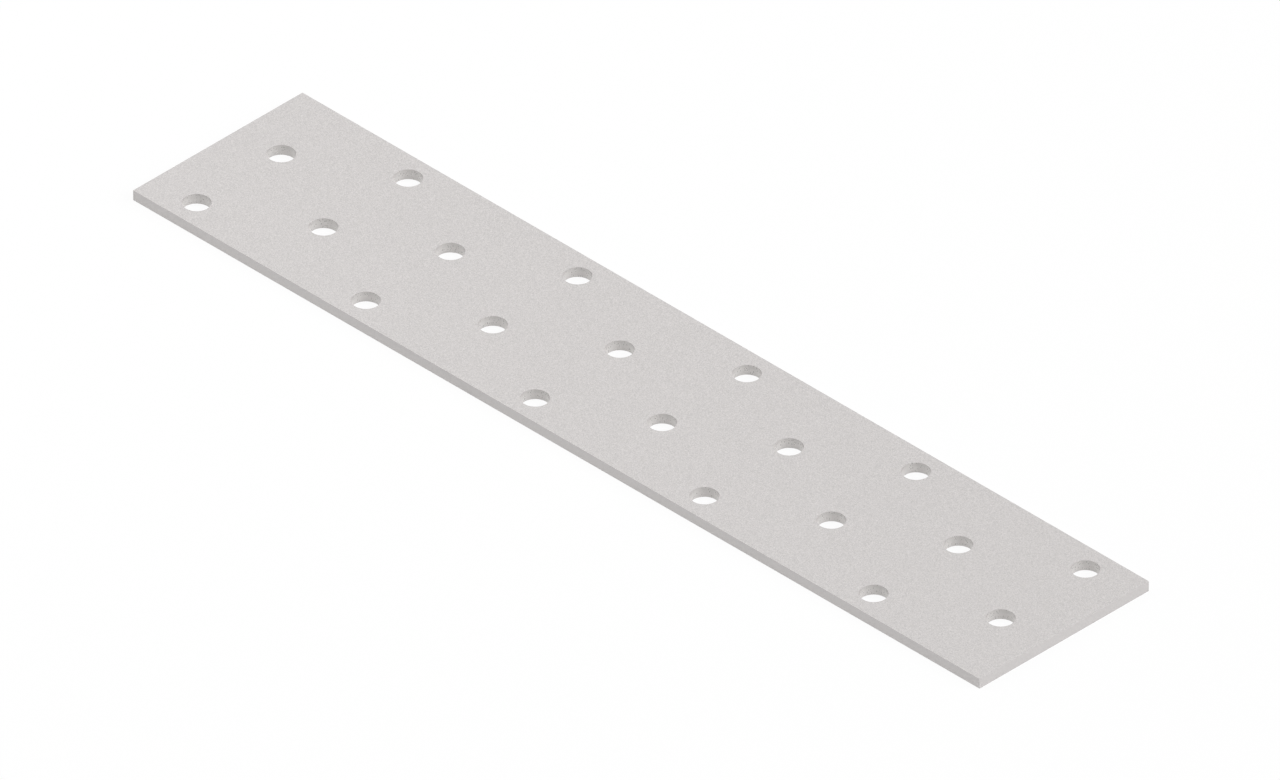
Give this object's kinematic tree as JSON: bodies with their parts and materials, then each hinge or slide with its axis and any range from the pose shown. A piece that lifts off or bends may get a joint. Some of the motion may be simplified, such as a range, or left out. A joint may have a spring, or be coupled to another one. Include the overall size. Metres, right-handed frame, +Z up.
{
  "type": "perforated joining plate",
  "caption": "Flat rectangular sheet-steel strip with staggered round holes, screwed or nailed across a butt joint to join framing members end to end.",
  "frame": {"origin": "centre of the plate's lower face, which lies on the members", "axes": "+X along the length, +Y across the width, +Z up through the thickness to the face the holes are punched from"},
  "size_m": [0.2, 0.04, 0.002],
  "materials": {
    "galvanised_steel": "matte"
  },
  "bodies": {
    "root": {"joining_plate": "galvanised_steel"}
  },
  "joints": []
}
